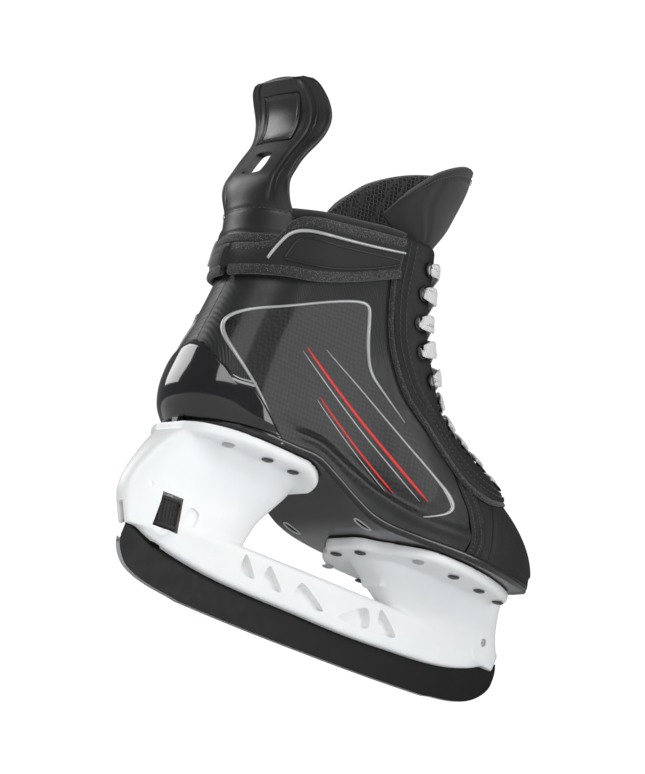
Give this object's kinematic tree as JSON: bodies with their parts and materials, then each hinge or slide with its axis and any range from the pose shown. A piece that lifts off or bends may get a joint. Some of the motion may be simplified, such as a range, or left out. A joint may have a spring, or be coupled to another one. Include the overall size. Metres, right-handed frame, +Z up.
{
  "type": "ice hockey skate",
  "caption": "Right-foot ice hockey skate: moulded laced boot with tendon guard and folding tongue, riveted to a blade holder with a drop-out runner.",
  "frame": {"origin": "centre of the flat at the lowest point of the runner, where it rests on the ice", "axes": "+X towards the toe, +Y towards the inner side of the foot, +Z up"},
  "size_m": [0.2914, 0.0938, 0.291],
  "materials": {
    "runner_steel": "black coated faces, bright ground edge",
    "bright_steel": "plain bright steel",
    "white_nylon": "white moulded nylon, satin",
    "wheel_plastic": "black knurled moulding",
    "rivet_metal": "dark plated dome",
    "eyelet_metal": "black painted ring",
    "composite": "black moulded composite",
    "carbon_shell": "satin woven composite with moulded ribs",
    "gloss_shell": "polished black",
    "cuff_textile": "textured bindings and panel",
    "eyestay_textile": "smooth coated fabric",
    "toe_rubber": "matt rubberised wrap",
    "tongue_textile": "moulded shield with knit facing",
    "guard_plastic": "polished back, satin sides",
    "liner_felt": "brushed lining",
    "footbed_foam": "foam with fabric top",
    "lace_textile": "flat woven, waxed"
  },
  "bodies": {
    "boot": {"holder": "white_nylon", "wheel_washer": "bright_steel", "catch_pin": "bright_steel", "heel_rivet_lateral_1": "rivet_metal", "heel_rivet_medial_1": "rivet_metal", "heel_rivet_lateral_2": "rivet_metal", "heel_rivet_medial_2": "rivet_metal", "heel_rivet_lateral_3": "rivet_metal", "heel_rivet_medial_3": "rivet_metal", "toe_rivet_lateral_1": "rivet_metal", "toe_rivet_medial_1": "rivet_metal", "toe_rivet_lateral_2": "rivet_metal", "toe_rivet_medial_2": "rivet_metal", "toe_rivet_lateral_3": "rivet_metal", "toe_rivet_medial_3": "rivet_metal", "toe_rivet_lateral_4": "rivet_metal", "toe_rivet_medial_4": "rivet_metal", "toe_rivet_lateral_5": "rivet_metal", "toe_rivet_medial_5": "rivet_metal", "outsole": "composite", "footbed": "footbed_foam", "liner": "liner_felt", "quarter_lateral": "carbon_shell", "vamp_lateral": "toe_rubber", "eyestay_lateral": "eyestay_textile", "quarter_medial": "carbon_shell", "vamp_medial": "toe_rubber", "eyestay_medial": "eyestay_textile", "eyelet_lateral_1": "eyelet_metal", "eyelet_lateral_2": "eyelet_metal", "eyelet_lateral_3": "eyelet_metal", "eyelet_lateral_4": "eyelet_metal", "eyelet_lateral_5": "eyelet_metal", "eyelet_lateral_6": "eyelet_metal", "eyelet_lateral_7": "eyelet_metal", "eyelet_lateral_8": "eyelet_metal", "eyelet_lateral_9": "eyelet_metal", "eyelet_lateral_10": "eyelet_metal", "eyelet_medial_1": "eyelet_metal", "eyelet_medial_2": "eyelet_metal", "eyelet_medial_3": "eyelet_metal", "eyelet_medial_4": "eyelet_metal", "eyelet_medial_5": "eyelet_metal", "eyelet_medial_6": "eyelet_metal", "eyelet_medial_7": "eyelet_metal", "eyelet_medial_8": "eyelet_metal", "eyelet_medial_9": "eyelet_metal", "eyelet_medial_10": "eyelet_metal", "heel_counter": "gloss_shell", "cuff": "cuff_textile", "toe_cap": "toe_rubber", "tongue_lower": "tongue_textile", "lace": "lace_textile", "guard_root": "cuff_textile"},
    "lock_wheel": {"lock_wheel": "wheel_plastic"},
    "runner": {"runner": "runner_steel", "lock_stud": "bright_steel"},
    "tendon_guard": {"tendon_guard": "guard_plastic", "guard_badge": "gloss_shell"},
    "tongue": {"tongue_upper": "tongue_textile"}
  },
  "joints": [
    {"name": "wheel_turn", "type": "hinge", "parent": "boot", "child": "lock_wheel", "pos_m": [-0.115, 0, 0.041], "axis": [0, 0, 1], "range_deg": [0, 1440]},
    {"name": "runner_drop", "type": "hinge", "parent": "boot", "child": "runner", "pos_m": [0.128, 0, 0.04], "axis": [0, -1, 0], "range_deg": [0, 1.66]},
    {"name": "guard_flex", "type": "hinge", "parent": "boot", "child": "tendon_guard", "pos_m": [-0.096, 0, 0.2138], "axis": [0, 1, 0], "range_deg": [-18, 4], "stiffness_Nm_per_rad": 1.2},
    {"name": "tongue_fold", "type": "hinge", "parent": "boot", "child": "tongue", "pos_m": [0.0255, 0, 0.2227], "axis": [0, 1, 0], "range_deg": [0, 38], "stiffness_Nm_per_rad": 0.6}
  ],
  "couplings": [
    {"joint": "runner_drop", "follows": "wheel_turn", "ratio": 0.0011462}
  ]
}
